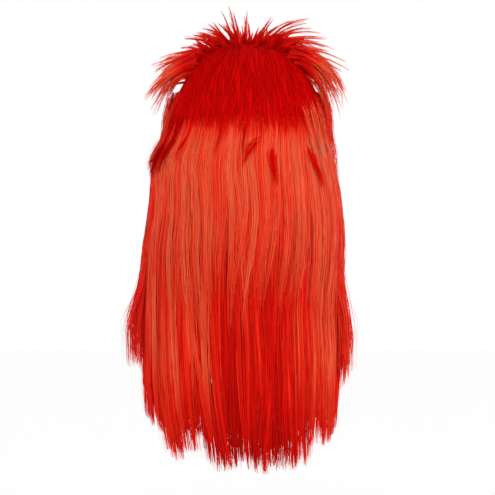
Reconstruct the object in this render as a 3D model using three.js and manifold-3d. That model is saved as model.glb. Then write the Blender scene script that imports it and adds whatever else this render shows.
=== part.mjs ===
// A mullet wig: a stretch cap with an elastic band, and hair sewn to it in layers of tapering locks.
// Millimetres, +Z up. The wearer faces -Y, so +X is the wearer's left and the long hair hangs at +Y.
// The origin is the inside of the cap's crown, where it sits on the top of the head.
import * as THREE from "three";
import { mergeVertices } from "three/addons/utils/BufferGeometryUtils.js";
import Module from "manifold-3d";

const wasm = await Module();
wasm.setup();

// Driving dimensions
const HEAD = { halfBreadth: 77, halfLength: 98, rise: 95 }; // a 550 mm head, an average cap
const CAP_WALL = 1.5;
const BAND = { wall: 1.5, width: 13, inset: 1 }; // sewn just inside the cap's edge
const GAP = 0.6; // clearance between two pieces
const ROOT = CAP_WALL + GAP; // stand-off from the head where the hair begins
const LONG_LIMIT = 12; // stand-off that the long hair stays within
const LAYER_LIMIT = 22; // stand-off that the layers under the crown stay within
const DOME = { standOff: 22, fullness: 2.5 }; // the teased crown, boxier than the head
const CROWN_EDGE = 36; // depth below the crown where the teased top ends
const LONG_EDGE = 62; // depth where the long hair is sewn on
const STRIP_HEIGHT = 26; // the sewn strip that a layer's locks hang from
const STRIP_INSET = 4; // how much flatter the strip is than its locks
const ROOT_INSET = 8; // how far below the strip's top the locks start
const LOCK_CLEAR = 1; // clearance between a lock's round face and the limits of its layer
const SIDE_PLANE = 20; // y where the side hair meets the back hair
const FRINGE_PLANE = -58; // y where the side hair meets the fringe
const REACH = 700; // larger than any piece, for cutting blocks

// Facets
const HEAD_FACETS = { around: 24, rings: 12 };
const FALL_FACETS = { around: 22, headRings: 5, fallRings: 5 };

// The cap's edge seen from the side, from the forehead to the nape
const CAP_EDGE = [
  { y: -110, depth: 60 },
  { y: -84, depth: 64 },
  { y: -58, depth: 84 },
  { y: -42, depth: 112 },
  { y: -14, depth: 90 },
  { y: 18, depth: 98 },
  { y: 48, depth: 140 },
  { y: 110, depth: 152 },
];

// How the hair falls below the widest part of the head: level sections of the surface at no stand-off
const FALL = [
  { depth: 95, halfWidth: 77, mid: 0, back: 98, shift: 0 },
  { depth: 130, halfWidth: 88, mid: 6, back: 101, shift: 3 },
  { depth: 175, halfWidth: 94, mid: 12, back: 102, shift: 4 },
  { depth: 230, halfWidth: 101, mid: 20, back: 102, shift: 7 },
  { depth: 290, halfWidth: 102, mid: 33, back: 104, shift: 9 },
  { depth: 350, halfWidth: 103, mid: 50, back: 107, shift: 8 },
  { depth: 410, halfWidth: 101, mid: 64, back: 108, shift: 8 },
  { depth: 490, halfWidth: 90, mid: 74, back: 108, shift: 6 },
];
const FALL_FRONT = -96; // y of the surface's front below the forehead

// Locks that hang: turn is the angle round the head from the back, positive to the wearer's left,
// tip the depth where the lock ends and sway how far the tip hangs to the left
const LONG_LOCKS = [
  { turn: 72, tip: 440, width: 27, sway: 8 },
  { turn: 60, tip: 448, width: 27, sway: 2 },
  { turn: 48, tip: 472, width: 28, sway: 0 },
  { turn: 37, tip: 462, width: 26, sway: -2 },
  { turn: 27, tip: 446, width: 25, sway: 3 },
  { turn: 17, tip: 477, width: 26, sway: 0 },
  { turn: 7, tip: 479, width: 25, sway: 2 },
  { turn: -3, tip: 466, width: 26, sway: -2 },
  { turn: -13, tip: 484, width: 26, sway: 1 },
  { turn: -24, tip: 482, width: 27, sway: 0 },
  { turn: -35, tip: 474, width: 27, sway: 3 },
  { turn: -47, tip: 454, width: 28, sway: -2 },
  { turn: -60, tip: 448, width: 28, sway: -4 },
  { turn: -72, tip: 444, width: 26, sway: -8 },
];
const LAYER_LOCKS = [
  { turn: 79, tip: 368, width: 26, sway: 16 },
  { turn: 65, tip: 330, width: 32, sway: 0 },
  { turn: 50, tip: 288, width: 32, sway: 3 },
  { turn: 35, tip: 336, width: 32, sway: -3 },
  { turn: 20, tip: 302, width: 31, sway: 2 },
  { turn: 6, tip: 344, width: 31, sway: 0 },
  { turn: -8, tip: 308, width: 31, sway: -2 },
  { turn: -22, tip: 340, width: 31, sway: 2 },
  { turn: -37, tip: 296, width: 32, sway: 0 },
  { turn: -52, tip: 328, width: 32, sway: -3 },
  { turn: -66, tip: 300, width: 32, sway: 0 },
  { turn: -79, tip: 388, width: 20, sway: -18 },
];
const SIDE_LOCKS = [
  { turn: 89, tip: 164, width: 28, sway: 5 },
  { turn: 99, tip: 150, width: 28, sway: 4 },
  { turn: 109, tip: 168, width: 27, sway: 2 },
  { turn: 119, tip: 146, width: 26, sway: 0 },
  { turn: 129, tip: 128, width: 22, sway: 0 },
];
const FRINGE_LOCKS = [
  { turn: 140, tip: 104, width: 24, sway: 6 },
  { turn: 152, tip: 92, width: 26, sway: -4 },
  { turn: 164, tip: 102, width: 26, sway: 5 },
  { turn: 176, tip: 90, width: 26, sway: -5 },
  { turn: 188, tip: 100, width: 26, sway: 4 },
  { turn: 200, tip: 91, width: 26, sway: -4 },
  { turn: 211, tip: 101, width: 26, sway: 3 },
  { turn: 221, tip: 106, width: 24, sway: -6 },
];
const CROWN_DROPS = [
  { turn: 82, tip: 140, width: 30, sway: 2 },
  { turn: 62, tip: 118, width: 34, sway: 0 },
  { turn: 42, tip: 136, width: 34, sway: 2 },
  { turn: 21, tip: 116, width: 35, sway: -2 },
  { turn: 0, tip: 112, width: 35, sway: 4 },
  { turn: -21, tip: 130, width: 35, sway: 0 },
  { turn: -42, tip: 114, width: 34, sway: 2 },
  { turn: -62, tip: 134, width: 34, sway: -2 },
  { turn: -82, tip: 128, width: 28, sway: -2 },
  { turn: 106, tip: 92, width: 34, sway: 4 },
  { turn: 131, tip: 80, width: 36, sway: 4 },
  { turn: 156, tip: 72, width: 36, sway: 0 },
  { turn: 180, tip: 66, width: 36, sway: 3 },
  { turn: 204, tip: 74, width: 36, sway: 0 },
  { turn: 229, tip: 78, width: 36, sway: -4 },
  { turn: 254, tip: 90, width: 34, sway: -4 },
];
const DROP_START = -18; // depth where those locks leave the dome's top, above the cap's crown
const DROP_THICKNESS = 8;

// Spikes of the crown: turn and tilt place the root on the dome, x y z is the tip
// and bow how far the lock arches above the straight line between them
const SPIKES = [
  { turn: 92, tilt: 32, x: 118, y: 8, z: -6, bow: 22, width: 24 },
  { turn: 104, tilt: 37, x: 113, y: -22, z: -20, bow: 22, width: 22 },
  { turn: 80, tilt: 42, x: 114, y: 25, z: -38, bow: 26, width: 24 },
  { turn: 94, tilt: 48, x: 117, y: 4, z: -50, bow: 30, width: 26 },
  { turn: 84, tilt: 54, x: 109, y: 18, z: -72, bow: 28, width: 22 },
  { turn: 108, tilt: 20, x: 66, y: -24, z: 34, bow: 14, width: 22 },
  { turn: 75, tilt: 16, x: 52, y: 12, z: 40, bow: 10, width: 20 },
  { turn: 130, tilt: 10, x: 32, y: -16, z: 48, bow: 4, width: 18 },
  { turn: 90, tilt: 6, x: 22, y: 0, z: 62, bow: 0, width: 14 },
  { turn: 0, tilt: 4, x: 2, y: 8, z: 56, bow: 0, width: 13 },
  { turn: -70, tilt: 8, x: -29, y: 2, z: 56, bow: 2, width: 16 },
  { turn: -98, tilt: 15, x: -77, y: -12, z: 52, bow: 10, width: 18 },
  { turn: -80, tilt: 20, x: -78, y: 14, z: 36, bow: 14, width: 18 },
  { turn: -90, tilt: 26, x: -97, y: 4, z: 24, bow: 20, width: 26 },
  { turn: -104, tilt: 31, x: -107, y: -18, z: 8, bow: 22, width: 24 },
  { turn: -84, tilt: 36, x: -117, y: 10, z: -5, bow: 24, width: 24 },
  { turn: -94, tilt: 43, x: -115, y: -2, z: -42, bow: 32, width: 28 },
  { turn: -82, tilt: 52, x: -108, y: 20, z: -66, bow: 28, width: 22 },
  { turn: 180, tilt: 10, x: 0, y: -42, z: 52, bow: 4, width: 18 },
  { turn: 150, tilt: 20, x: 42, y: -72, z: 40, bow: 10, width: 20 },
  { turn: 210, tilt: 20, x: -42, y: -76, z: 38, bow: 10, width: 20 },
  { turn: 180, tilt: 26, x: 6, y: -108, z: 26, bow: 18, width: 24 },
  { turn: 158, tilt: 34, x: 40, y: -126, z: 0, bow: 22, width: 24 },
  { turn: 202, tilt: 34, x: -38, y: -128, z: 2, bow: 22, width: 24 },
  { turn: 134, tilt: 37, x: 82, y: -100, z: -6, bow: 22, width: 24 },
  { turn: 226, tilt: 37, x: -86, y: -98, z: -4, bow: 22, width: 24 },
  { turn: 120, tilt: 46, x: 108, y: -60, z: -42, bow: 26, width: 24 },
  { turn: 240, tilt: 46, x: -110, y: -56, z: -38, bow: 26, width: 24 },
];
const SPIKE_ROOT = 12; // stand-off of a spike's root, inside the dome
const SPIKE_FLATNESS = 0.7; // a spike's thickness over its width

// How a lock's section grows from its root and closes to its tip
const HANGING = { sides: 6, steps: 4, rootShare: 0.8, power: 9 };
const SHORT = { sides: 6, steps: 3, rootShare: 0.8, power: 3 };
const DROPPED = { sides: 6, steps: 4, rootShare: 0.8, power: 3 };
const SPIKED = { sides: 4, steps: 4, rootShare: 1, power: 1.7 };
const GROWN_BY = 0.3; // share of the length where a lock reaches its full width
const TIP_SHARE = 0.06; // width left at the tip

// Solids from three.js geometry
function solid(geometry) {
  const bare = geometry.clone();
  bare.deleteAttribute("normal");
  bare.deleteAttribute("uv");
  const merged = mergeVertices(bare, 1e-3);
  return new wasm.Manifold(
    new wasm.Mesh({
      numProp: 3,
      vertProperties: new Float32Array(merged.attributes.position.array),
      triVerts: new Uint32Array(merged.index.array),
    }),
  );
}

function join(solids) {
  return solids.reduce((all, next) => all.add(next));
}

// A block from one corner to the other, for cutting a piece to its own territory
function block({ x = [-REACH, REACH], y = [-REACH, REACH], z = [-REACH, REACH] }) {
  const size = [x, y, z].map(([low, high]) => high - low);
  const centre = [x, y, z].map(([low, high]) => (high + low) / 2);
  return solid(new THREE.BoxGeometry(...size).translate(...centre));
}

const above = (depth) => block({ z: [-depth, REACH] });
const below = (depth) => block({ z: [-2 * REACH, -depth] });

// The head as an ellipsoid, grown by a stand-off
function headForm(standOff) {
  const ball = new THREE.SphereGeometry(1, HEAD_FACETS.around, HEAD_FACETS.rings);
  ball.rotateX(Math.PI / 2);
  ball.scale(HEAD.halfBreadth + standOff, HEAD.halfLength + standOff, HEAD.rise + standOff);
  return solid(ball.translate(0, 0, -HEAD.rise));
}

// The surface that the hair follows: the head above its widest level, and the sections of FALL below it
const fallSections = new THREE.CubicInterpolant(
  FALL.map((row) => row.depth),
  FALL.flatMap((row) => [row.halfWidth, row.mid, row.back, row.shift]),
  4,
);

function fallPoint(turn, depth, standOff, fullness = 2) {
  if (depth <= HEAD.rise) {
    const level = (HEAD.rise - depth) / (HEAD.rise + standOff);
    const share = Math.max(0, 1 - level ** fullness) ** (1 / fullness);
    return new THREE.Vector3(
      (HEAD.halfBreadth + standOff) * share * Math.sin(turn),
      (HEAD.halfLength + standOff) * share * Math.cos(turn),
      -depth,
    );
  }
  const [halfWidth, mid, back, shift] = fallSections.evaluate(depth);
  const reach = Math.cos(turn) > 0 ? back - mid : mid - FALL_FRONT;
  return new THREE.Vector3(
    (halfWidth + standOff) * Math.sin(turn) + shift,
    mid + (reach + standOff) * Math.cos(turn),
    -depth,
  );
}

// A closed solid inside that surface, grown by a stand-off
function fallForm(standOff, fullness) {
  const { around, headRings, fallRings } = FALL_FACETS;
  const rings = headRings + fallRings + 1;
  const form = new THREE.SphereGeometry(1, around, rings);
  const deepest = FALL.at(-1).depth;
  const places = form.attributes.position;
  for (let i = 0; i < places.count; i += 1) {
    const ring = Math.floor(i / (around + 1));
    const turn = ((i % (around + 1)) / around) * 2 * Math.PI;
    const onHead = Math.cos((Math.min(ring, headRings) / headRings) * (Math.PI / 2));
    const fallen = Math.max(0, Math.min(ring - headRings, fallRings)) / fallRings;
    const depth = HEAD.rise - (HEAD.rise + standOff) * onHead + (deepest - HEAD.rise) * fallen;
    const place = fallPoint(turn, depth, standOff, fullness);
    if (ring === rings) place.set(0, FALL.at(-1).mid, -deepest);
    places.setXYZ(i, place.x, place.y, place.z);
  }
  return outward(form);
}

// A solid from a bent geometry, with its faces turned outwards
function outward(geometry) {
  const made = solid(geometry);
  if (made.volume() > 0) return made;
  const index = geometry.index.array;
  for (let i = 0; i < index.length; i += 3) [index[i + 1], index[i + 2]] = [index[i + 2], index[i + 1]];
  return solid(geometry);
}

// One tapering lock: a cylinder bent along a curve, flat across the side direction
function lock(curve, side, width, thickness, { sides, steps, rootShare, power }) {
  const tube = new THREE.CylinderGeometry(1, 1, 1, sides, steps);
  const places = tube.attributes.position;
  const section = new THREE.Vector3();
  for (let i = 0; i < places.count; i += 1) {
    const along = 0.5 - places.getY(i);
    const grown = rootShare + (1 - rootShare) * THREE.MathUtils.smoothstep(along, 0, GROWN_BY);
    const share = Math.max(TIP_SHARE, grown * (1 - along ** power));
    const tangent = curve.getTangent(along);
    const across = side.clone().addScaledVector(tangent, -side.dot(tangent)).normalize();
    const out = new THREE.Vector3().crossVectors(across, tangent);
    section.copy(curve.getPoint(along));
    section.addScaledVector(across, (places.getX(i) * share * width) / 2);
    section.addScaledVector(out, (places.getZ(i) * share * thickness) / 2);
    places.setXYZ(i, section.x, section.y, section.z);
  }
  return outward(tube);
}

// A lock that hangs on the fall surface between two stand-offs, from a depth to its tip
function hangingLock({ turn, tip, width, sway }, from, inner, outer, profile, fullness) {
  const angle = THREE.MathUtils.degToRad(turn);
  const side = new THREE.Vector3(Math.cos(angle), -Math.sin(angle), 0);
  const middle = (inner + outer) / 2;
  const points = [];
  for (let step = 0; step <= profile.steps; step += 1) {
    const along = step / profile.steps;
    const point = fallPoint(angle, from + (tip - from) * along, middle, fullness);
    point.x += sway * along * along;
    points.push(point);
  }
  return lock(new THREE.CatmullRomCurve3(points), side, width, outer - inner, profile);
}

// A spike that leaves the dome and arches to its tip
function spike({ turn, tilt, x, y, z, bow, width }) {
  const angle = THREE.MathUtils.degToRad(turn);
  const polar = THREE.MathUtils.degToRad(tilt);
  const side = new THREE.Vector3(Math.cos(angle), -Math.sin(angle), 0);
  const root = new THREE.Vector3(
    (HEAD.halfBreadth + SPIKE_ROOT) * Math.sin(polar) * Math.sin(angle),
    (HEAD.halfLength + SPIKE_ROOT) * Math.sin(polar) * Math.cos(angle),
    (HEAD.rise + SPIKE_ROOT) * Math.cos(polar) - HEAD.rise,
  );
  const tip = new THREE.Vector3(x, y, z);
  const arch = root.clone().lerp(tip, 0.5);
  arch.z += bow;
  const curve = new THREE.QuadraticBezierCurve3(root, arch, tip);
  return lock(curve, side, width, width * SPIKE_FLATNESS, SPIKED);
}

// The space below the cap's edge line, raised by a height
function belowEdge(raised) {
  const edge = CAP_EDGE.map(({ y, depth }) => new THREE.Vector2(y, raised - depth));
  const outline = new THREE.Shape();
  outline.moveTo(edge[0].x, -REACH);
  outline.lineTo(edge[0].x, edge[0].y);
  outline.splineThru(edge.slice(1));
  outline.lineTo(edge.at(-1).x, -REACH);
  const wide = 4 * HEAD.halfBreadth;
  const cut = new THREE.ExtrudeGeometry(outline, { depth: wide, bevelEnabled: false, curveSegments: 3 });
  cut.translate(0, 0, -wide / 2);
  const yAcross = new THREE.Vector3(0, 1, 0);
  const zUp = new THREE.Vector3(0, 0, 1);
  cut.applyMatrix4(new THREE.Matrix4().makeBasis(yAcross, zUp, new THREE.Vector3(1, 0, 0)));
  return solid(cut);
}

// The pieces
const capOutside = headForm(ROOT);
const backHalf = block({ y: [SIDE_PLANE, REACH] });

function cap() {
  return headForm(CAP_WALL).subtract(headForm(0)).subtract(belowEdge(0));
}

function elasticBand() {
  const strip = headForm(-GAP).subtract(headForm(-GAP - BAND.wall));
  return strip.subtract(belowEdge(BAND.inset)).intersect(belowEdge(BAND.inset + BAND.width));
}

// A layer of hair: the sewn strip round the head, and the locks that hang from it
function layer(rows, from, inner, outer, profile, territory) {
  const strip = fallForm(outer - STRIP_INSET).intersect(above(from + STRIP_HEIGHT)).intersect(below(from));
  const locks = rows.map((row) => hangingLock(row, from + ROOT_INSET, inner, outer, profile));
  return join([strip, ...locks]).intersect(territory).subtract(capOutside);
}

function longBack() {
  return layer(LONG_LOCKS, LONG_EDGE + GAP, ROOT + LOCK_CLEAR, LONG_LIMIT - LOCK_CLEAR, HANGING, backHalf);
}

function backLayer() {
  const inner = LONG_LIMIT + GAP;
  const longHair = fallForm(inner).intersect(below(LONG_EDGE));
  const outer = LAYER_LIMIT - LOCK_CLEAR;
  const hair = layer(LAYER_LOCKS, CROWN_EDGE + GAP, inner + LOCK_CLEAR, outer, HANGING, backHalf);
  return hair.subtract(longHair);
}

function side(hand) {
  const rows = SIDE_LOCKS.map((row) => ({ ...row, turn: hand * row.turn, sway: hand * row.sway }));
  const half = hand > 0 ? [0, REACH] : [-REACH, 0];
  const territory = block({ x: half, y: [FRINGE_PLANE + GAP, SIDE_PLANE - GAP] });
  return layer(rows, CROWN_EDGE + GAP, ROOT + LOCK_CLEAR, LAYER_LIMIT - LOCK_CLEAR, SHORT, territory);
}

function fringe() {
  const territory = block({ y: [-REACH, FRINGE_PLANE] });
  return layer(FRINGE_LOCKS, CROWN_EDGE + GAP, ROOT + LOCK_CLEAR, LAYER_LIMIT - LOCK_CLEAR, SHORT, territory);
}

function crownSpikes() {
  const { standOff, fullness } = DOME;
  const dome = fallForm(standOff, fullness).intersect(above(CROWN_EDGE));
  const outer = standOff + DROP_THICKNESS;
  const drops = CROWN_DROPS.map((row) => hangingLock(row, DROP_START, standOff, outer, DROPPED, fullness));
  const lowerHair = fallForm(LAYER_LIMIT + GAP).subtract(above(CROWN_EDGE));
  return join([dome, ...drops, ...SPIKES.map(spike)]).subtract(lowerHair).subtract(capOutside);
}

// Materials
const hairRed = new THREE.MeshStandardMaterial({ color: 0xd62314, roughness: 0.45, metalness: 0 });
const crownRed = new THREE.MeshStandardMaterial({ color: 0xb80505, roughness: 0.6, metalness: 0 });
const capNet = new THREE.MeshStandardMaterial({ color: 0x6d0a0a, roughness: 0.85, metalness: 0 });
const elastic = new THREE.MeshStandardMaterial({ color: 0x4a0808, roughness: 0.8, metalness: 0 });

function piece(name, made, material) {
  const { vertProperties, triVerts } = made.getMesh();
  const geometry = new THREE.BufferGeometry();
  geometry.setAttribute("position", new THREE.BufferAttribute(new Float32Array(vertProperties), 3));
  geometry.setIndex(new THREE.BufferAttribute(new Uint32Array(triVerts), 1));
  geometry.computeVertexNormals();
  const mesh = new THREE.Mesh(geometry, material);
  mesh.name = name;
  return mesh;
}

const wig = new THREE.Group();
wig.add(
  piece("cap", cap(), capNet),
  piece("elastic_band", elasticBand(), elastic),
  piece("crown_spikes", crownSpikes(), crownRed),
  piece("fringe", fringe(), hairRed),
  piece("side_left", side(1), hairRed),
  piece("side_right", side(-1), hairRed),
  piece("back_layer", backLayer(), hairRed),
  piece("long_back", longBack(), hairRed),
);

export default wig;
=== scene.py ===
import math

import bmesh
import bpy
import numpy as np
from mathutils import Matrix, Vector


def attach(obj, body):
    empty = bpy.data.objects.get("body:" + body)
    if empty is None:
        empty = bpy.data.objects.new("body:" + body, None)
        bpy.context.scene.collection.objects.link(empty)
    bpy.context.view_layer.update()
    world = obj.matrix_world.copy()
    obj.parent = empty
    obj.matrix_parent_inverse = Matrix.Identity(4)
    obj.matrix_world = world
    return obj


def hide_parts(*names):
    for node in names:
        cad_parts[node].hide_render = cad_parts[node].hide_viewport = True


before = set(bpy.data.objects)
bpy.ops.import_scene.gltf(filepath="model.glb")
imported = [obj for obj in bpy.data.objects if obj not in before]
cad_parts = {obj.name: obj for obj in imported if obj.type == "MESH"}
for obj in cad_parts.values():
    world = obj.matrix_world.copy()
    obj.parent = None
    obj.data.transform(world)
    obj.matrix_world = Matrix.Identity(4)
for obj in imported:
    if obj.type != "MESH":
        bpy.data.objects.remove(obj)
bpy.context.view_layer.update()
print("frame loaded")

mm = 0.001
rng = np.random.default_rng(11)  # one seed, so every run gives the same hair
anyPhase = 6.28  # radians, all round

# camera first: straight behind, level with the middle of the hair
view = dict(distance=2.6, hairPlane=0.115, height=-0.227, frameWidth=0.5742, sensor=36)
camera = bpy.data.cameras.new("camera")
camera.sensor_width = view["sensor"]
camera.lens = view["sensor"] * view["distance"] / view["frameWidth"]
cameraObject = bpy.data.objects.new("camera", camera)
cameraObject.location = (0, view["distance"] + view["hairPlane"], view["height"])
cameraObject.rotation_euler = (math.pi / 2, 0, math.pi)
bpy.context.scene.collection.objects.link(cameraObject)
bpy.context.scene.camera = cameraObject

# the head under the wig, and how the hair falls from it, in millimetres as in the part's source
head = dict(halfBreadth=77, halfLength=98, rise=95, front=-96)
fall = [
    # depth below the crown, half width, middle, back, shift to the left
    (95, 77, 0, 98, 0), (112, 86, 3, 99.5, 3.5), (130, 91, 6, 101, 4.5), (150, 94, 9, 101.5, 3.5),
    (175, 96, 12, 102, 2), (230, 103, 20, 102, 5), (290, 102, 33, 104, 9), (350, 103, 50, 107, 8),
    (410, 101, 64, 108, 8), (490, 90, 74, 108, 6),
]


def smoothRows(rows, at):
    # smooth curve through a table's rows, by its first column
    table = np.array(rows, float)
    slope = np.gradient(table[:, 1:], table[:, 0], axis=0)
    span = np.clip(np.searchsorted(table[:, 0], at) - 1, 0, len(table) - 2)
    low, high = table[span], table[span + 1]
    gap = (high[..., 0] - low[..., 0])[..., None]
    t = np.clip((at[..., None] - low[..., :1]) / gap, 0, 1)
    start, end = slope[span] * gap, slope[span + 1] * gap
    return ((2 * t**3 - 3 * t**2 + 1) * low[..., 1:] + (t**3 - 2 * t**2 + t) * start
            + (3 * t**2 - 2 * t**3) * high[..., 1:] + (t**3 - t**2) * end)


def fallPoint(turn, depth, standOff, fullness=2.0):
    # turn is degrees round the head from the back, standOff is how far off the scalp
    turn, depth, standOff = np.broadcast_arrays(np.radians(turn), depth, standOff)
    level = np.clip((head["rise"] - depth) / (head["rise"] + standOff), -1, 1)
    share = np.clip(1 - np.abs(level) ** fullness, 0, 1) ** (1 / fullness)
    halfWidth, middle, back, shift = np.moveaxis(smoothRows(fall, np.maximum(depth, head["rise"])), -1, 0)
    reach = np.where(np.cos(turn) > 0, back - middle, middle - head["front"])
    onHead = depth <= head["rise"]
    x = np.where(onHead, (head["halfBreadth"] + standOff) * share * np.sin(turn),
                 (halfWidth + standOff) * np.sin(turn) + shift)
    y = np.where(onHead, (head["halfLength"] + standOff) * share * np.cos(turn),
                 middle + (reach + standOff) * np.cos(turn))
    return np.stack([x, y, -depth], axis=-1)


# materials
fibreColumns = 64  # fibres side by side across the hair's map, deep ones left and bright ones right
# the scale goes from deep red to orange over the fibres' own red: the orange end is partly painted sheen of
# lit fibres, the deep end partly painted shade
hairShades = [
    # place on the scale, colour
    (0.0, (0.52, 0.0004, 0.0006)), (0.3, (0.82, 0.003, 0.002)), (0.55, (0.88, 0.040, 0.014)),
    (0.8, (0.86, 0.142, 0.056)), (1.0, (0.86, 0.230, 0.116)),
]


def shaderTree(name):
    material = bpy.data.materials.new(name)
    material.use_nodes = True
    tree = material.node_tree
    return material, tree, tree.nodes["Principled BSDF"]


def addNode(tree, kind, inputs=(), **settings):
    made = tree.nodes.new(kind)
    for key, value in settings.items():
        setattr(made, key, value)
    for socket, value in inputs:
        if isinstance(value, bpy.types.NodeSocket):
            tree.links.new(value, made.inputs[socket])
        else:
            made.inputs[socket].default_value = value
    return made


def mathNode(tree, operation, first, second):
    return addNode(tree, "ShaderNodeMath", ((0, first), (1, second)), operation=operation).outputs[0]


def ramp(tree, value, fromMin, fromMax, toMin, toMax):
    ends = ("From Min", fromMin), ("From Max", fromMax), ("To Min", toMin), ("To Max", toMax)
    made = addNode(tree, "ShaderNodeMapRange", (("Value", value), *ends), interpolation_type="SMOOTHSTEP")
    return made.outputs[0]


def hairMaterial(name, look):
    # shade by fibre across the map, and from root to tip along it
    # root and tip are the stretch of the fibre where the shade changes, then its share before and after
    material, tree, shader = shaderTree(name)
    place = addNode(tree, "ShaderNodeUVMap", uv_map="OFBake")
    parts = addNode(tree, "ShaderNodeSeparateXYZ", ((0, place.outputs[0]),))
    across, along = parts.outputs[0], parts.outputs[1]
    column = mathNode(tree, "FLOOR", mathNode(tree, "MULTIPLY", across, float(fibreColumns)), 0.0)
    grain = addNode(tree, "ShaderNodeTexWhiteNoise", (("W", column),), noise_dimensions="1D")
    evened = mathNode(tree, "SUBTRACT", grain.outputs["Value"], 0.5)
    streak = mathNode(tree, "MULTIPLY", evened, look["streak"])
    shade = mathNode(tree, "ADD", mathNode(tree, "DIVIDE", column, float(fibreColumns)), streak)
    shade = mathNode(tree, "MULTIPLY", shade, ramp(tree, along, *look["root"]))
    shade = mathNode(tree, "MULTIPLY", shade, ramp(tree, along, *look["tip"]))
    colours = addNode(tree, "ShaderNodeValToRGB", ((0, shade),))
    stops = colours.color_ramp.elements
    while len(stops) < len(hairShades):
        stops.new(0.5)
    for stop, (position, colour) in zip(stops, hairShades):
        stop.position = position
        stop.color = (*colour, 1)
    tree.links.new(colours.outputs[0], shader.inputs["Base Color"])
    shader.inputs["Roughness"].default_value = look["roughness"]
    shader.inputs["Specular IOR Level"].default_value = look["specular"]
    shader.inputs["Specular Tint"].default_value = (*look["tint"], 1)
    return material


shine = (1.0, 0.25, 0.12)  # highlights take the fibre's red
# glossy red hair; its orange is partly painted sheen, and it is deeper near the root as painted shade under
# the crown
glossyPaintedSheenHair = hairMaterial("glossy_red_hair_painted_sheen", dict(
    streak=0.18, root=(0.08, 0.24, 0.3, 1), tip=(0.7, 1.0, 1, 0.85),
    roughness=0.42, specular=0.2, tint=shine))
# deeper red over its upper part: painted shade where it hangs under the shorter layer
longHair = hairMaterial("long_red_hair", dict(
    streak=0.25, root=(0.35, 0.62, 0.35, 1), tip=(0.7, 1.0, 1, 0.6),
    roughness=0.42, specular=0.2, tint=shine))
crownHair = hairMaterial("teased_red_hair", dict(
    streak=0.1, root=(0, 0.5, 0.8, 1), tip=(0.7, 1.0, 1, 1.8),
    roughness=0.8, specular=0.02, tint=(1.0, 0.2, 0.1)))
spikeHair = hairMaterial("spiked_red_hair", dict(
    streak=0.25, root=(0.16, 0.56, 0.22, 1), tip=(0.8, 1.0, 1, 0.8),
    roughness=0.5, specular=0.15, tint=shine))
print("materials made")


def addPiece(name, mesh, material, cadNode):
    mesh.materials.append(material)
    piece = bpy.data.objects.new(name, mesh)
    bpy.context.scene.collection.objects.link(piece)
    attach(piece, "root")
    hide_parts(cadNode)
    return piece


# strands: three-sided tapering tubes along paths, all in one mesh; the wide ones are small flat wisps
strandSides = 3
strandSizes = (0.75, 1.25)  # thinnest and thickest of a kind
brightest = 0.9  # the palest shade that a strand may have
stripSpan = 5  # columns of the map that a flat strip covers
fineSpan = 0.8  # and a fine strand
columnInset = 0.1  # keeps a strand off the edge of its column
mapRoot = 0.02  # the root's height on the map; the tip is as far below the map's top
underside = -0.55  # sides that face further in than this keep their own shading
hairAxis = dict(y=10, droop=0.2)  # strands face away from an upright line, low ones a little down
curtain = dict(depth=230, facing=0.7)  # below this depth the hair hangs flat and faces back
bendLook = dict(pace=(0.6, 1.4), looseShare=0.05, looser=2.5)  # a few strands bend far more than the rest


def unit(vectors):
    return vectors / np.maximum(np.linalg.norm(vectors, axis=-1, keepdims=True), 1e-9)


def newHair():
    return dict(paths=[], halfWidth=[], halfDepth=[], shade=[], span=[])


def addWisp(hair, paths, look, shade):
    # the first few paths of a wisp are flat strips, the rest fine strands
    count, rings = paths.shape[:2]
    along = np.linspace(0, 1, rings)
    closing = np.clip((along - look["taperFrom"]) / (1 - look["taperFrom"]), 0, 1)
    body = 1 - (1 - look["tipShare"]) * closing
    strip = np.arange(count) < look["strips"]
    size = rng.uniform(*strandSizes, count)
    hair["paths"].append(paths)
    for half, wide in (("halfWidth", "stripWidth"), ("halfDepth", "stripDepth")):
        hair[half].append((np.where(strip, look[wide], look["fine"]) * size / 2)[:, None] * body)
    # strips lie under the fine strands and take a deeper red: painted shade between the strands
    shades = shade - np.where(strip, look["stripPaintedShade"], 0) + rng.normal(0, look["shadeSpread"], count)
    hair["shade"].append(np.clip(shades, 0, brightest))
    hair["span"].append(np.where(strip, stripSpan, fineSpan))


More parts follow.
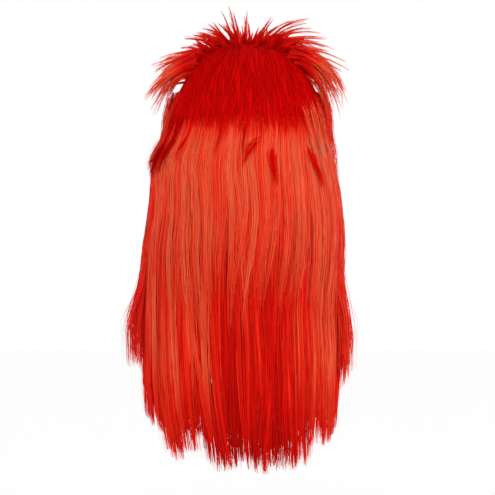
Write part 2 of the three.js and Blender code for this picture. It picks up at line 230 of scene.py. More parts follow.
def strandMesh(name, hair, softness=2.0):
    # softness is how far a strand's shading follows the whole hair
    paths, halfWidth, halfDepth, shade, span = (np.concatenate(hair[key]) for key in hair)
    count, rings = paths.shape[:2]
    tangents = unit(np.gradient(paths, axis=1))
    outwards = (paths - (0, hairAxis["y"], 0)) * (1, 1, hairAxis["droop"])
    outwards[..., 1] += curtain["facing"] * np.maximum(0, -paths[..., 2] - curtain["depth"])
    sideways = unit(np.cross(tangents, outwards))
    upwards = np.cross(sideways, tangents)
    spin = rng.uniform(0, anyPhase, count)
    start = np.where(span == stripSpan, math.pi / 2, spin)  # flat strips keep a ridge outwards
    angles = (start[:, None] + 2 * np.pi * np.arange(strandSides) / strandSides)[:, None, :, None]
    corners = (paths[:, :, None] + np.cos(angles) * (sideways * halfWidth[..., None])[:, :, None]
               + np.sin(angles) * (upwards * halfDepth[..., None])[:, :, None]) * mm
    index = np.arange(count * rings * strandSides).reshape(count, rings, strandSides)
    following = np.roll(index, -1, axis=2)
    quads = np.stack([index[:, :-1], index[:, 1:], following[:, 1:], following[:, :-1]], axis=-1)
    ends = np.stack([index[:, 0], index[:, -1, ::-1]], axis=1)
    loops = np.concatenate([quads.ravel(), ends.ravel()])
    starts = np.concatenate([np.arange(quads.size // 4) * 4, quads.size + np.arange(ends.size // 3) * 3])
    # a strand has its own narrow column of the map, with the root at the bottom
    column = np.floor(shade * (fibreColumns - stripSpan - 1)) + columnInset
    left = (column[:, None] + span[:, None] * np.arange(strandSides) / strandSides) / fibreColumns
    right = left + span[:, None] / strandSides / fibreColumns
    along = np.linspace(mapRoot, 1 - mapRoot, rings)
    quadU = np.stack([left, left, right, right], axis=-1)[:, None].repeat(rings - 1, axis=1)
    quadV = np.stack([along[:-1], along[1:], along[1:], along[:-1]], axis=-1)
    quadV = np.broadcast_to(quadV[None, :, None], quadU.shape)
    endU = np.stack([left, left], axis=1)
    endV = np.broadcast_to(np.array([mapRoot / 2, 1 - mapRoot / 2])[None, :, None], endU.shape)
    u = np.concatenate([quadU.ravel(), endU.ravel()])
    v = np.concatenate([quadV.ravel(), endV.ravel()])
    mesh = bpy.data.meshes.new(name)
    mesh.vertices.add(index.size)
    mesh.vertices.foreach_set("co", corners.ravel())
    mesh.loops.add(loops.size)
    mesh.loops.foreach_set("vertex_index", loops.astype(np.int32))
    mesh.polygons.add(starts.size)
    mesh.polygons.foreach_set("loop_start", starts.astype(np.int32))
    mesh.update(calc_edges=True)
    layer = mesh.uv_layers.new(name="OFBake")
    layer.data.foreach_set("uv", np.stack([u, v], axis=-1).ravel())
    mesh.polygons.foreach_set("use_smooth", np.ones(starts.size, bool))
    # each side of a strand is shaded mostly by the way the whole hair faces there
    low, high = angles[:, 0, :, 0], angles[:, 0, :, 0] + 2 * np.pi / strandSides
    flatX = halfDepth[..., None] * (np.sin(high) - np.sin(low))[:, None]
    flatY = -halfWidth[..., None] * (np.cos(high) - np.cos(low))[:, None]
    length = np.hypot(flatX, flatY)
    flatX, flatY = flatX / length, flatY / length
    facing = flatY + softness * (flatY > underside)
    normals = unit(sideways[:, :, None] * flatX[..., None] + upwards[:, :, None] * facing[..., None])
    quadNormals = np.stack([normals[:, :-1], normals[:, 1:], normals[:, 1:], normals[:, :-1]], axis=-2)
    endNormals = np.stack([-tangents[:, 0], tangents[:, -1]], axis=1)
    endNormals = endNormals[:, :, None].repeat(strandSides, axis=2)
    mesh.normals_split_custom_set(np.concatenate([quadNormals.reshape(-1, 3), endNormals.reshape(-1, 3)]))
    print(name, count, "strands", count * ((rings - 1) * 2 * strandSides + 2), "triangles")
    return mesh


def bends(count, along, size, waves):
    # a strand's own small bends, growing from the root
    phase = rng.uniform(0, anyPhase, (count, 1, 3))
    pace = rng.uniform(*bendLook["pace"], (count, 1, 1)) * waves
    loose = rng.uniform(0, 1, (count, 1, 1)) < bendLook["looseShare"]
    swing = size * (1 + bendLook["looser"] * loose) * along[..., None]
    return np.sin(2 * np.pi * pace * along[..., None] + phase) * swing


def hangingHair(name, rows, layer):
    # wisps that hang from a sewn row, each lock ending in ragged points
    hair = newHair()
    t = np.linspace(0, 1, layer["rings"])[None]
    count = layer["strips"] + layer["strands"]
    for turn, tip, width, sway, shade in rows:
        fan = layer["fan"] if abs(sway) > layer["fanSway"] else 0  # the outermost locks spread sideways
        wisps = max(3, round(width / layer["wispWidth"] * (1 + layer["fanFill"] * fan)))
        look = dict(layer, stripPaintedShade=0, stripWidth=layer["fanStrip"]) if fan else layer
        lockTurn = math.degrees(width / 2 / layer["girth"]) * layer["overlap"]
        wispTurn = 2 * lockTurn / wisps
        outX, outY = math.sin(math.radians(turn)), math.cos(math.radians(turn))
        level = max(layer["edgeLevel"], outY)  # wisps lie flatter round the sides
        for wisp in range(wisps):
            filling = wisp % 2 == 1  # every second wisp lies deep and even, and closes the gaps
            across = (wisp + 0.5 + rng.uniform(-1, 1) * layer["uneven"]) / wisps * 2 - 1
            shorter = rng.exponential(layer["shorter"]) * (layer["fanShorter"] if fan else 1)
            ragged = layer["ragged"] * abs(across) ** 1.5 * rng.uniform(*layer["raggedRange"])
            end = tip - ragged - shorter - (layer["fillShorter"] if filling else 0)
            spot = rng.normal(0, layer["blend"], (count, 1))
            spot[:layer["strips"], 0] = (np.arange(layer["strips"]) + 0.5) / layer["strips"] - 0.5
            root = layer["root"] + rng.uniform(0, layer["rootSpread"], (count, 1))
            fray = layer["fray"] * (layer["fanFray"] if fan else 1)
            strandEnd = np.maximum(end - rng.exponential(fray, (count, 1)), root + layer["shortest"])
            depth = root + (strandEnd - root) * t
            sunk = 1 if filling else rng.uniform(0, layer["loosest"])  # how deep in the layer the wisp lies
            narrowing = 1 - layer["gather"] * t**2.5 * (1 - sunk)
            turns = turn + lockTurn * across * (1 - layer["clump"] * t**3) + spot * wispTurn * narrowing
            if filling:
                turns = turns + spot * wispTurn * layer["fillWidth"]
            through = 1 - layer["deepest"] * sunk * level + rng.normal(0, layer["wispDepth"], (count, 1))
            through[:layer["strips"]] -= layer["stripSunk"]
            through = np.clip(through, 0, layer["topmost"])
            standOff = layer["inner"] + (layer["outer"] - layer["inner"]) * through
            path = fallPoint(turns, depth, standOff - layer["settle"] * t**2)
            if fan:
                spread = np.clip((depth - layer["fanFrom"]) / layer["fanOver"], 0, 1)
                reach = sway * (1 - fan * rng.uniform(0, 1)) + spot * layer["fanBlend"]
                path[..., 0] += reach * spread**2 * (3 - 2 * spread)
            else:
                drifts = abs(turn) < layer["driftWithin"]  # the locks between middle and side draw inwards
                drift = layer["drift"] * math.sin(math.radians(turn * layer["driftPace"])) if drifts else 0
                limit = layer["strayLimit"]
                stray = np.clip(rng.standard_t(layer["strayKind"]), -limit, limit) * layer["stray"] - drift
                lean = rng.uniform(0, anyPhase)
                wave = np.sin(rng.uniform(*layer["wavePace"]) * t + lean) - math.sin(lean)
                wave = wave * rng.normal(0, layer["waveSize"])
                slide = (stray * t**2 + wave) * (1 - sunk)  # sideways along the surface
                path[..., 0] += sway * t**2 + slide * outY
                path[..., 1] -= slide * outX
            path += bends(count, np.broadcast_to(t, depth.shape), layer["frizz"], layer["waves"])
            # a wisp lying deeper in the layer takes a deeper red: painted shade in the gaps between wisps,
            # less of it on the flaring locks
            paintedShade = layer["sunkPaintedShade"] * sunk * (layer["fanPaintedShadeShare"] if fan else 1)
            addWisp(hair, path, look, shade - paintedShade + rng.normal(0, layer["wispShade"]))
    return strandMesh(name, hair)


# long straight hair down the back
# the orange rows at the sides are partly painted sheen and the deep red middle partly painted shade, over
# the hair's own red
longRows = [
    # turn, tip depth, width, sway, shade
    (74, 438, 27, -4, 0.78), (63, 447, 27, -9, 0.82), (52, 478, 28, -9, 0.84), (41, 472, 26, -9, 0.84),
    (30, 460, 25, -9, 0.62), (20, 485, 26, -9, 0.33), (10, 490, 25, -8, 0.26), (0, 485, 26, -8, 0.2),
    (-10, 491, 26, -8, 0.22), (-21, 492, 27, -7, 0.33), (-33, 485, 27, -4, 0.58), (-46, 466, 28, -3, 0.86),
    (-60, 460, 28, 0, 0.92), (-72, 452, 26, 4, 0.8),
]
longLayer = dict(
    root=64, rootSpread=18, inner=8, outer=13, topmost=1.15, settle=-4, girth=105, overlap=1.2, clump=0.1,
    wispWidth=3.4, wispDepth=0.12, deepest=0.45, loosest=0.6, edgeLevel=0.25, uneven=0.3, blend=0.8,
    gather=0.55, fillWidth=1.2, fillShorter=5,
    ragged=14, raggedRange=(0.3, 1.2), shorter=3, shortest=30, fray=5,
    drift=4, driftPace=2.5, driftWithin=60, stray=15.3, strayKind=5, strayLimit=1.7,
    waveSize=4, wavePace=(3.5, 6.5), frizz=0.9, waves=1.3,
    fan=1.4, fanSway=10, fanFrom=267, fanOver=42, fanBlend=4, fanFill=1.2, fanStrip=3.2, fanShorter=0.3,
    fanFray=0.45, fanPaintedShadeShare=0.2,
    strips=8, stripWidth=2.4, stripDepth=0.6, stripSunk=0.15, strands=20, fine=0.7, rings=9, taperFrom=0.75,
    # the next line gives strips and deep-lying wisps a deeper red, as painted shade
    tipShare=0.2, stripPaintedShade=0.1, sunkPaintedShade=0.25, shadeSpread=0.11, wispShade=0.15)
longMesh = hangingHair("long_back_hair", longRows, longLayer)
addPiece("long_back_hair", longMesh, longHair, "long_back")

# an even curtain behind it, so that no light shows between the locks
underTips = [
    # turn, tip depth
    (-76, 436), (-44, 450), (-36, 476), (-8, 480), (4, 474), (20, 474), (30, 450), (38, 458), (48, 460),
    (60, 436), (76, 426),
]
underCurtain = dict(widest=76, step=8, lockWidth=15, gather=0.06, shade=0.36, sideShade=0.003)
underRows = []
for turn in range(-underCurtain["widest"], underCurtain["widest"] + 1, underCurtain["step"]):
    tip = smoothRows(underTips, np.array(turn))[0]
    shade = underCurtain["shade"] + underCurtain["sideShade"] * abs(turn)
    underRows.append((turn, tip, underCurtain["lockWidth"], -underCurtain["gather"] * turn, shade))
underLayer = dict(
    longLayer, inner=3, outer=6, overlap=1.5, wispWidth=4.5, uneven=0.1, gather=0.1, fillShorter=0,
    ragged=8, shorter=8, stray=0, waveSize=0, strips=7, stripWidth=2.6, strands=14, rings=7,
    shadeSpread=0.05, wispShade=0.03)
underMesh = hangingHair("long_back_under", underRows, underLayer)
addPiece("long_back_under", underMesh, longHair, "long_back")

# shorter layer over it
# this layer's orange is partly painted sheen, as it faces the light
layerRows = [
    # turn, tip depth, width, sway, shade; the first and the last one flare over the shoulders
    (80, 386, 28, 18, 0.46), (77, 296, 22, -1, 0.84), (65, 372, 32, -3, 0.86), (50, 356, 32, -6, 0.9),
    (35, 360, 32, -8, 0.88), (20, 328, 31, -5, 0.85), (6, 348, 31, -6, 0.83), (-8, 324, 31, -4, 0.83),
    (-22, 340, 31, 0, 0.85), (-37, 336, 32, 2, 0.9), (-52, 372, 32, -2, 0.92), (-66, 386, 32, 0, 0.9),
    (-77, 312, 22, 0, 0.86), (-80, 398, 26, -17, 0.54),
]
backLayer = dict(
    longLayer, root=40, rootSpread=20, inner=16, outer=20, settle=5, girth=112, clump=0.05, wispWidth=3.6,
    wispDepth=0.08, deepest=0.14, gather=0.7, fillShorter=0, ragged=36, shorter=42, fray=32,
    drift=12, stray=10.2, waveSize=3.2, strips=11, stripWidth=1.6, stripDepth=0.45, strands=16,
    # the next line gives strips and deep-lying wisps a deeper red, as painted shade
    taperFrom=0.5, stripPaintedShade=0.16, sunkPaintedShade=0.23, shadeSpread=0.09, wispShade=0.06)
backMesh = hangingHair("back_layer_hair", layerRows, backLayer)
addPiece("back_layer_hair", backMesh, glossyPaintedSheenHair, "back_layer")

# short hair over the ears
sideRows = [
    # turn, tip depth, width, sway, shade
    (89, 158, 28, 0, 0.64), (99, 150, 28, 1, 0.68), (109, 168, 27, 1, 0.68), (119, 146, 26, 0, 0.64),
    (129, 128, 22, 0, 0.6),
]
sideLayer = dict(
    longLayer, root=38, rootSpread=16, inner=6, outer=26, settle=8, girth=100, clump=0.4, wispWidth=4,
    edgeLevel=1, gather=0.6, fillShorter=0, ragged=20, shorter=10, fray=12, drift=0, stray=2.55,
    waveSize=2, frizz=1.2, strips=6, strands=22, rings=6, taperFrom=0.5, shadeSpread=0.09, wispShade=0.06)
for hand, cadNode in ((1, "side_left"), (-1, "side_right")):
    rows = [(hand * turn, tip, width, hand * sway, shade) for turn, tip, width, sway, shade in sideRows]
    addPiece(cadNode + "_hair", hangingHair(cadNode + "_hair", rows, sideLayer), glossyPaintedSheenHair, cadNode)

# fringe over the forehead
fringeRows = [
    # turn, tip depth, width, sway, shade
    (140, 104, 24, 6, 0.6), (152, 92, 26, -4, 0.64), (164, 102, 26, 5, 0.62), (176, 90, 26, -5, 0.66),
    (188, 100, 26, 4, 0.62), (200, 91, 26, -4, 0.66), (211, 101, 26, 3, 0.62), (221, 106, 24, -6, 0.6),
]
fringeLayer = dict(sideLayer, root=34, rootSpread=12, shorter=6, ragged=14, fray=8)
addPiece("fringe_hair", hangingHair("fringe_hair", fringeRows, fringeLayer), glossyPaintedSheenHair, "fringe")
print("hanging hair made")

# teased crown: fine hair combed down over a backcombed dome, narrow above the ears and full at the back
crownForm = dict(standOff=20, fullness=2.3, sideFullness=3.0, pinch=12, pinchDepth=27, pinchSpread=32)
crownEdge = [
    # turn, how far down the teased hair covers the satin
    (-180, 64), (-90, 62), (-70, 62), (-56, 62), (-46, 68), (-36, 90), (-22, 96), (-8, 95), (0, 94),
    (6, 80), (12, 82), (18, 99), (26, 102), (33, 97), (40, 80), (50, 77), (58, 92), (72, 94), (85, 80),
    (110, 66), (180, 64),
]


def crownStandOff(turn, depth):
    beside = np.abs(np.sin(np.radians(turn))) ** 3
    pinched = np.exp(-((depth - crownForm["pinchDepth"]) / crownForm["pinchSpread"]) ** 2)
    return crownForm["standOff"] - crownForm["pinch"] * beside * pinched


def crownFullness(turn):
    beside = np.sin(np.radians(turn)) ** 2
    return crownForm["fullness"] + (crownForm["sideFullness"] - crownForm["fullness"]) * beside


# the crown's deep red is partly the hair's own and partly painted shade, as teased hair seen end-on looks
# darker
crownFuzz = dict(
    wisps=580, wispTurn=3.6, topSpread=0.3, top=-21, rootSpan=92, rootCurve=1.15, rootScatter=3,
    reach=(26, 50), shortest=18, edgeFray=10, inner=0.97, outer=1.03, arch=0.02, lean=4,
    frizz=0.45, waves=1.1, softness=7.0,
    strips=1, stripWidth=2.0, stripDepth=0.4, strands=8, fine=0.55, rings=6, taperFrom=0.3, tipShare=0.3,
    shade=0.08, edgeShade=0.12, paleFrom=10, paleOver=50, stripPaintedShade=0, shadeSpread=0.03, wispShade=0.02)
looseTips = dict(
    wispWidth=2, blend=0.3, girth=115, scatter=0.08, fray=8, gather=0.8, rise=(0.5, 1.5),
    sink=3.8, sinkRange=(0.7, 1.3), frizz=0.8, waves=1)
crownTips = [
    # turn and depth of a loose lock's root, turn and depth of its tip, lift, width, shade
    (-10, 95, 1, 133, 4, 8, 0.24), (-16, 103, -19, 157, 4, 10, 0.27), (-43, 94, -52, 158, 4, 10, 0.27),
    # the three dark locks on the left are darker than the rest as painted shadow
    (54, 44, 60, 140, 5, 14, 0.08), (64, 42, 70, 143, 5, 16, 0.06), (74, 40, 79, 134, 4, 14, 0.1),
    (42, 66, 46, 126, 4, 6, 0.26), (20, 70, 17, 122, 4, 5, 0.24), (3, 76, 1, 118, 4, 5, 0.22),
    (84, 40, 88, 112, 4, 12, 0.26), (-44, 40, -49, 118, 3, 10, 0.68), (-53, 33, -58, 122, 3, 14, 0.76),
    (-63, 30, -68, 118, 3, 12, 0.72), (79, 34, 84, 132, 5, 12, 0.68), (71, 40, 76, 124, 8, 5, 0.64),
]


def crownHairMesh(name, look, tips):
    hair = newHair()
    t = np.linspace(0, 1, look["rings"])[None]
    count = look["strips"] + look["strands"]
    golden = 137.508  # spreads the roots evenly over the dome
    for wisp in range(look["wisps"]):
        turn = wisp * golden % 360 - 180
        share = (wisp + 0.5) / look["wisps"]
        rootDepth = look["top"] + look["rootSpan"] * share ** look["rootCurve"]
        edge = smoothRows(crownEdge, np.array(turn))[0]
        root = rootDepth + rng.uniform(-look["rootScatter"], look["rootScatter"], (count, 1))
        end = root + rng.uniform(*look["reach"], (count, 1))
        end = np.minimum(end, edge + rng.normal(0, look["edgeFray"], (count, 1)))
        end = np.maximum(end, root + look["shortest"])
        depth = root + (end - root) * t
        spread = look["wispTurn"] / max(look["topSpread"], math.sqrt(share))
        turns = turn + rng.normal(0, spread, (count, 1)) + rng.normal(0, look["lean"]) * t**1.5
        lift = rng.uniform(look["inner"], look["outer"], (count, 1))
        lift = lift * (1 + look["arch"] * np.sin(np.pi * t))
        path = fallPoint(turns, depth, crownStandOff(turns, depth) * lift, crownFullness(turns))
        path += bends(count, np.broadcast_to(t, depth.shape), look["frizz"], look["waves"])
        towardsEdge = min(1, max(0, (rootDepth - look["paleFrom"]) / look["paleOver"]))
        shade = look["shade"] + look["edgeShade"] * towardsEdge
        addWisp(hair, path, look, shade + rng.normal(0, look["wispShade"]))
    for turn, rootDepth, tipTurn, tipDepth, rise, width, shade in crownTips:
        for _ in range(max(2, round(width / tips["wispWidth"]))):
            spot = rng.normal(0, tips["blend"], (count, 1)) * math.degrees(width / tips["girth"])
            spot = spot + rng.normal(0, tips["scatter"]) * width
            end = tipDepth - rng.exponential(tips["fray"], (count, 1))
            depth = rootDepth + (end - rootDepth) * t
            turns = turn + (tipTurn - turn) * t + spot * (1 - tips["gather"] * t**1.5)
            lift = rise * rng.uniform(*tips["rise"], (count, 1)) * t**0.7
            sink = tips["sink"] * rng.uniform(*tips["sinkRange"], (count, 1))
            lift = lift - sink * (1 - t) ** 2  # comes out from among the hair under it
            path = fallPoint(turns, depth, crownStandOff(turns, depth) + lift, crownFullness(turns))
            path += bends(count, np.broadcast_to(t, depth.shape), tips["frizz"], tips["waves"])
            addWisp(hair, path, look, shade)
    return strandMesh(name, hair, look["softness"])


crownMesh = crownHairMesh("crown_hair", crownFuzz, looseTips)
addPiece("crown_hair", crownMesh, crownHair, "crown_spikes")

# spikes: the two sides and the top as seen from behind, short red ones along the top, then the front
spikeRows = [
    # root x and y on the dome, tip x, y, z, bow, width, shade
    (50, 36, 118, 8, -6, 8, 18, 0.74), (52, 40, 113, 10, -19, 9, 18, 0.72),
    (54, 42, 112, 14, -27, 10, 18, 0.7), (56, 46, 122, 16, -43, 14, 22, 0.74),
    (57, 48, 123, 18, -51, 16, 20, 0.72), (58, 50, 114, 20, -70, 22, 18, 0.68),
    (66, -10, 113, -22, -20, 18, 22, 0.66), (68, 0, 117, -2, -50, 22, 22, 0.66),
    (30, 10, 66, -4, 33, 8, 14, 0.5), (26, 20, 55, 12, 36, 8, 14, 0.5), (22, 0, 42, -6, 44, 4, 12, 0.45),
    (18, 8, 34, 2, 60, 2, 7, 0.42), (36, 20, 77, 6, 24, 6, 8, 0.5), (12, 10, 22, 0, 66, 2, 8, 0.42),
    (22, 16, 48, 14, 42, 6, 14, 0.45), (30, 24, 62, 20, 30, 10, 12, 0.45),
    (14, 18, 36, 16, 44, 4, 12, 0.42), (8, 16, 14, 10, 42, 0, 6, 0.4), (-6, 14, -16, 12, 40, 0, 8, 0.4),
    (-16, 18, -36, 16, 40, 4, 10, 0.45), (4, 14, 0, 8, 61, 0, 5, 0.42), (-8, 6, -29, 2, 54, 2, 10, 0.45),
    (-18, 0, -76, -6, 51, 18, 14, 0.62), (-26, 14, -79, 14, 36, 14, 13, 0.62),
    (-26, 30, -97, 10, 24, 14, 22, 0.74), (-36, 28, -105, 0, 12, 12, 20, 0.76),
    (-44, 36, -124, 12, -15, 12, 12, 0.72), (-42, 42, -119, 20, -46, 34, 30, 0.8),
    (-46, 46, -120, 24, -54, 34, 28, 0.8), (-52, 48, -104, 26, -84, 36, 20, 0.76),
    (-54, 44, -114, 18, -60, 30, 28, 0.78), (-56, 48, -100, 26, -70, 18, 20, 0.72),
    (-50, 38, -112, 16, -44, 26, 28, 0.78), (-66, 0, -115, -8, -38, 26, 24, 0.66),
    (60, 48, 119, 18, -60, 24, 18, 0.72), (-54, 46, -111, 20, -66, 38, 22, 0.78),
    (48, 34, 62, 36, 22, 2, 16, 0.3), (36, 36, 46, 40, 30, 2, 16, 0.24),
    (24, 38, 30, 42, 30, 2, 14, 0.22), (12, 38, 12, 44, 27, 0, 12, 0.2), (0, 38, -2, 44, 26, 0, 12, 0.2),
    (-12, 38, -14, 44, 28, 0, 12, 0.2), (-24, 36, -30, 42, 32, 2, 14, 0.24),
    (-38, 34, -50, 40, 28, 4, 14, 0.3), (-50, 30, -68, 36, 20, 4, 16, 0.42),
    (8, 54, 12, 66, 27, 2, 10, 0.2), (-8, 54, -14, 66, 25, 2, 10, 0.2),
    (24, 52, 34, 62, 26, 3, 10, 0.22), (-24, 52, -36, 62, 25, 3, 10, 0.22),
    (40, 48, 55, 56, 17, 4, 12, 0.26), (-40, 48, -57, 56, 18, 4, 12, 0.26),
    (52, 44, 70, 50, 3, 5, 12, 0.34), (-52, 42, -71, 48, 5, 5, 12, 0.34),
    (0, -30, 0, -42, 52, 4, 14, 0.5), (26, -50, 42, -72, 40, 10, 16, 0.55),
    (-26, -50, -42, -76, 38, 10, 16, 0.55), (14, -10, 24, -22, 46, 4, 14, 0.45),
    (-14, -12, -22, -26, 46, 4, 14, 0.45), (34, -24, 58, -38, 34, 8, 16, 0.5),
    (-34, -22, -60, -34, 34, 8, 16, 0.5), (12, -52, 20, -80, 42, 8, 14, 0.5),
    (-12, -56, -16, -86, 40, 8, 14, 0.5), (44, -46, 74, -68, 22, 12, 18, 0.56),
    (-44, -46, -76, -66, 22, 12, 18, 0.56), (14, -74, 24, -112, 20, 16, 18, 0.56),
    (-16, -76, -24, -114, 18, 16, 18, 0.56), (40, -72, 62, -112, 4, 20, 18, 0.58),
    (-40, -72, -60, -114, 4, 20, 18, 0.58), (54, -20, 92, -30, 10, 12, 18, 0.58),
    (-54, -20, -94, -26, 12, 12, 18, 0.58), (0, -72, 6, -108, 26, 18, 20, 0.6),
    (26, -84, 40, -126, 0, 22, 20, 0.62), (-26, -84, -38, -128, 2, 22, 20, 0.62),
    (56, -60, 82, -100, -6, 22, 20, 0.62), (-56, -60, -86, -98, -4, 22, 20, 0.62),
    (68, -36, 108, -60, -42, 26, 22, 0.64), (-68, -36, -110, -56, -38, 26, 22, 0.64),
]
spikeLocks = dict(
    wispWidth=3.4, flatness=0.7, rootInset=1, reach=(0.68, 1), tipSpread=4.5, firstSpread=0.2, tipWidth=0.5,
    bowRange=(0.75, 1.2), fray=0.09, shortest=0.45, blend=0.42, gather=0.93,
    frizz=0.7, waves=0.8, softness=0.3,
    strips=3, stripWidth=2.0, stripDepth=0.8, strands=11, fine=0.6, rings=7, taperFrom=0.2, tipShare=0.15,
    stripPaintedShade=0, shadeSpread=0.06, wispShade=0.08)
rim = dict(share=0.98, rounds=4)  # roots stay inside the dome's rim; the stand-off settles in 4 rounds


def domePoint(x, y, inset):
    # the dome's surface above a place, sunk by an inset
    standOff = crownForm["standOff"] - inset
    for _ in range(rim["rounds"]):
        a, b = x / (head["halfBreadth"] + standOff), y / (head["halfLength"] + standOff)
        radial = min(rim["share"], math.hypot(a, b))
        turn = math.degrees(math.atan2(a, b))
        fullness = crownFullness(turn)
        depth = head["rise"] - (head["rise"] + standOff) * (1 - radial**fullness) ** (1 / fullness)
        standOff = float(crownStandOff(turn, depth)) - inset
    return np.array((x, y, -depth))


def spikeMesh(name, rows, look):
    hair = newHair()
    t = np.linspace(0, 1, look["rings"])[None, :, None]
    count = look["strips"] + look["strands"]
    for rootX, rootY, x, y, z, bow, width, shade in rows:
        root = domePoint(rootX, rootY, look["rootInset"])
        tip = np.array((x, y, z), float)
        away = unit(tip - root)
        side = unit(np.cross(away, (0, 0, 1)) + 1e-6)  # an upright spike still gets a side
        lift = np.cross(side, away)
        for wisp in range(max(2, round(width / look["wispWidth"]))):
            first = wisp == 0  # holds the spike's full reach
            place = rng.uniform(-0.5, 0.5, 2) * width * (1, look["flatness"])
            spread = rng.normal(0, look["tipSpread"], 3) * (look["firstSpread"] if first else 1)
            reach = 1 if first else rng.uniform(*look["reach"])
            aside = side * place[0] + lift * place[1]
            start = root + aside
            end = root + (tip - root) * reach + spread + aside * look["tipWidth"]
            arch = (start + end) / 2 + lift * bow * reach * rng.uniform(*look["bowRange"])
            s = t * np.clip(1 - rng.exponential(look["fray"], (count, 1, 1)), look["shortest"], 1)
            spot = rng.normal(0, look["blend"], (count, 1, 2)) * look["wispWidth"]
            path = (1 - s) ** 2 * start + 2 * s * (1 - s) * arch + s**2 * end
            path = path + (side * spot[..., :1] + lift * spot[..., 1:]) * (1 - look["gather"] * s**0.8)
            path += bends(count, np.broadcast_to(t[..., 0], path.shape[:2]), look["frizz"], look["waves"])
            addWisp(hair, path, look, shade + rng.normal(0, look["wispShade"]))
    return strandMesh(name, hair, look["softness"])


spikes = spikeMesh("spike_hair", spikeRows, spikeLocks)
addPiece("spike_hair", spikes, spikeHair, "crown_spikes")
print("crown made")

# cap with its elastic band, and the backcombed base under the crown
capEdge = [
    # y, depth of the edge from the forehead to the nape
    (-110, 60), (-84, 64), (-58, 84), (-42, 112), (-14, 90), (18, 98), (48, 140), (110, 152),
]
capShape = dict(segments=128, rings=48, wall=1.5)
band = dict(width=13, inset=1, gap=0.6, wall=1.4, ribs=5, ribHeight=0.15)
wefts = dict(rows=8, width=3.2, wall=0.7, gap=0.1, aboveEdge=16, lowest=0.93, highest=0.3, steps=2)
crownBase = dict(segments=72, rings=20, edge=74, sink=0.9, wall=2, weld=0.2)
edgeSearch = np.radians(np.arange(20, 165, 0.25))  # angles down from the crown, tried for the cap's edge


def headPoint(turn, polar, standOff):
    x = (head["halfBreadth"] + standOff) * math.sin(polar) * math.sin(turn)
    y = (head["halfLength"] + standOff) * math.sin(polar) * math.cos(turn)
    return Vector((x, y, (head["rise"] + standOff) * math.cos(polar) - head["rise"])) * mm


def edgePolar(turn, raised=0):
    # angle down from the crown where the cap's edge, or a line raised above it, meets the head
    y = head["halfLength"] * np.sin(edgeSearch) * math.cos(turn)
    depth = head["rise"] * (1 - np.cos(edgeSearch))
    beyond = depth >= smoothRows(capEdge, y)[..., 0] - raised
    return edgeSearch[np.argmax(beyond)]


def solidPiece(name, build, wall, material, cadNode):
    # a surface with a wall outwards, or inwards where the wall is negative
    bmesh.ops.recalc_face_normals(build, faces=build.faces)
    mesh = bpy.data.meshes.new(name)
    build.to_mesh(mesh)
    build.free()
    mesh.polygons.foreach_set("use_smooth", np.ones(len(mesh.polygons), bool))
    piece = addPiece(name, mesh, material, cadNode)
    shell = piece.modifiers.new("wall", "SOLIDIFY")
    shell.thickness = abs(wall) * mm
    shell.offset = 1 if wall > 0 else -1


def openDome(segments, rings):
    # the upper half of a sphere, and for each vertex its turn and its share of the way to the edge
    build = bmesh.new()
    bmesh.ops.create_uvsphere(build, u_segments=segments, v_segments=rings * 2, radius=1)
    bmesh.ops.delete(build, geom=[v for v in build.verts if v.co.z < -1e-4], context="VERTS")
    places = []
    for vert in build.verts:
        down = math.acos(min(1, max(-1, vert.co.z)))
        places.append((vert, math.atan2(vert.co.x, vert.co.y), down / (math.pi / 2)))
    return build, places


def ringStrip(build, segments, polarOf, steps, standOff):
    # a strip round the head between two lines, in a few steps from its lower to its upper line
    bmesh.ops.create_circle(build, segments=segments, radius=1)
    build.verts.ensure_lookup_table()
    low = list(build.verts)[-segments:]
    edges = [e for e in build.edges if e.verts[0] in low and e.verts[1] in low]
    rows = [low]
    for _ in range(steps):
        grown = bmesh.ops.extrude_edge_only(build, edges=edges)["geom"]
        rows.append([g for g in grown if isinstance(g, bmesh.types.BMVert)])
        edges = [g for g in grown if isinstance(g, bmesh.types.BMEdge)]
    for step, row in enumerate(rows):
        for vert in row:
            turn = math.atan2(vert.co.x, vert.co.y)
            vert.co = headPoint(turn, polarOf(turn, step / steps), standOff(step / steps))


knit = dict(distortion=1.5, low=0.3, high=1.2, strength=0.8, specular=0.15)


def netMaterial(name, look):
    # knitted loops by place, with a bump of the same size; the colour deepens where the bump dips, painted
    # shade in the hollows
    material, tree, shader = shaderTree(name)
    place = addNode(tree, "ShaderNodeTexCoord").outputs["Object"]
    loops = ("Vector", place), ("Scale", look["loops"])
    cells = addNode(tree, "ShaderNodeTexVoronoi", loops, feature="F1")
    waves = ("Vector", place), ("Scale", look["rows"]), ("Distortion", knit["distortion"])
    rows = addNode(tree, "ShaderNodeTexWave", waves, bands_direction="Z")
    height = mathNode(tree, "ADD", cells.outputs["Distance"], rows.outputs["Fac"])
    raised = ramp(tree, height, knit["low"], knit["high"], 0, 1)
    mixed = (0, raised), (6, (*look["deep"], 1)), (7, (*look["bright"], 1))  # 6 and 7 are the two colours
    colours = addNode(tree, "ShaderNodeMix", mixed, data_type="RGBA")
    tree.links.new(colours.outputs[2], shader.inputs["Base Color"])
    relief = ("Height", height), ("Distance", look["relief"] * mm), ("Strength", knit["strength"])
    bump = addNode(tree, "ShaderNodeBump", relief)
    tree.links.new(bump.outputs[0], shader.inputs["Normal"])
    shader.inputs["Roughness"].default_value = look["roughness"]
    shader.inputs["Specular IOR Level"].default_value = knit["specular"]
    return material


capNet = netMaterial("cap_knit", dict(
    loops=700, rows=260, deep=(0.09, 0.003, 0.003), bright=(0.22, 0.010, 0.009),
    relief=0.5, roughness=0.85))
elasticWeave = netMaterial("woven_elastic", dict(
    loops=900, rows=420, deep=(0.045, 0.002, 0.002), bright=(0.11, 0.006, 0.006),
    relief=0.4, roughness=0.75))
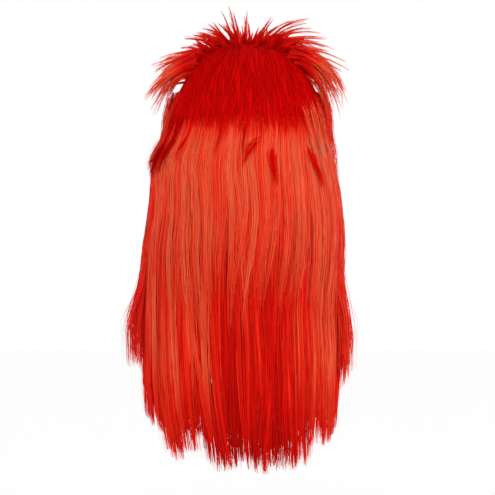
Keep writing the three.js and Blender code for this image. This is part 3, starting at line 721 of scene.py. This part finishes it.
# the dome under the crown takes the crown's deep red, partly painted shade
backcombedHair = netMaterial("backcombed_hair", dict(
    loops=500, rows=60, deep=(0.50, 0.0007, 0.0008), bright=(0.58, 0.0012, 0.001),
    relief=0.3, roughness=0.95))

build, places = openDome(capShape["segments"], capShape["rings"])
for vert, turn, share in places:
    vert.co = headPoint(turn, share * edgePolar(turn), 0)
solidPiece("cap_shell", build, capShape["wall"], capNet, "cap")

build = bmesh.new()
weftHalf = wefts["width"] / 2 / head["rise"]
for row in range(wefts["rows"]):
    share = wefts["highest"] + (wefts["lowest"] - wefts["highest"]) * row / (wefts["rows"] - 1)
    ringStrip(build, capShape["segments"],
              lambda turn, step: share * edgePolar(turn, wefts["aboveEdge"]) + weftHalf * (1 - 2 * step),
              wefts["steps"], lambda step: -wefts["gap"])
solidPiece("cap_wefts", build, -wefts["wall"], capNet, "cap")

build = bmesh.new()
ribAngle = band["ribs"] * 2 * math.pi
ringStrip(build, capShape["segments"],
          lambda turn, step: edgePolar(turn, band["inset"] + band["width"] * step),
          band["ribs"] * 2, lambda step: -band["gap"] - band["ribHeight"] * (1 - math.cos(step * ribAngle)))
solidPiece("elastic_band_woven", build, -band["wall"], elasticWeave, "elastic_band")

build, places = openDome(crownBase["segments"], crownBase["rings"])
baseRise = head["rise"] + crownForm["standOff"] - crownBase["sink"]
for vert, turn, share in places:
    degrees = np.array(math.degrees(turn))
    depth = np.minimum(head["rise"] - baseRise * math.cos(share * math.pi / 2), crownBase["edge"])
    standOff = crownStandOff(degrees, depth) - crownBase["sink"]
    vert.co = Vector(fallPoint(degrees, depth, standOff, crownFullness(degrees))) * mm
bmesh.ops.remove_doubles(build, verts=build.verts, dist=crownBase["weld"] * mm)
solidPiece("crown_base_hair", build, -crownBase["wall"], backcombedHair, "crown_spikes")
print("cap made")

# floor and light
floorLook = dict(height=-0.62, radius=6, segments=64, colour=(0.95, 0.95, 0.95, 1), roughness=0.9)
floorMesh = bpy.data.meshes.new("floor")
build = bmesh.new()
bmesh.ops.create_circle(build, cap_ends=True, segments=floorLook["segments"], radius=floorLook["radius"])
bmesh.ops.translate(build, verts=build.verts, vec=(0, 0, floorLook["height"]))
build.to_mesh(floorMesh)
build.free()
floorPaint, _, floorShader = shaderTree("pale_floor")
floorShader.inputs["Base Color"].default_value = floorLook["colour"]
floorShader.inputs["Roughness"].default_value = floorLook["roughness"]
floorMesh.materials.append(floorPaint)
floor = bpy.data.objects.new("floor", floorMesh)
bpy.context.scene.collection.objects.link(floor)

lights = [
    # name, place, size, power
    ("key", (0.4, 2.4, 0.6), 1.4, 3.5), ("fill", (-1.8, 1.0, 0.3), 1.4, 4),
]
aim = Vector((0, 0.05, -0.2))  # the middle of the back
overhead = dict(energy=0.12, angle=40, tilt=-25)
for name, place, size, power in lights:
    lamp = bpy.data.lights.new(name, "AREA")
    lamp.shape = "DISK"
    lamp.size = size
    lamp.energy = power
    lampObject = bpy.data.objects.new(name, lamp)
    lampObject.location = place
    lampObject.rotation_euler = (aim - Vector(place)).to_track_quat("-Z", "Y").to_euler()
    bpy.context.scene.collection.objects.link(lampObject)
sun = bpy.data.lights.new("overhead", "SUN")
sun.energy = overhead["energy"]
sun.angle = math.radians(overhead["angle"])
sunObject = bpy.data.objects.new("overhead", sun)
sunObject.rotation_euler = (math.radians(overhead["tilt"]), 0, 0)
bpy.context.scene.collection.objects.link(sunObject)
world = bpy.data.worlds.new("studio")
world.use_nodes = True
sky = world.node_tree.nodes["Background"]
sky.inputs["Color"].default_value = (1, 1, 1, 1)
sky.inputs["Strength"].default_value = 1.0
bpy.context.scene.world = world
bpy.context.scene.view_settings.view_transform = "Standard"
print("stage made")
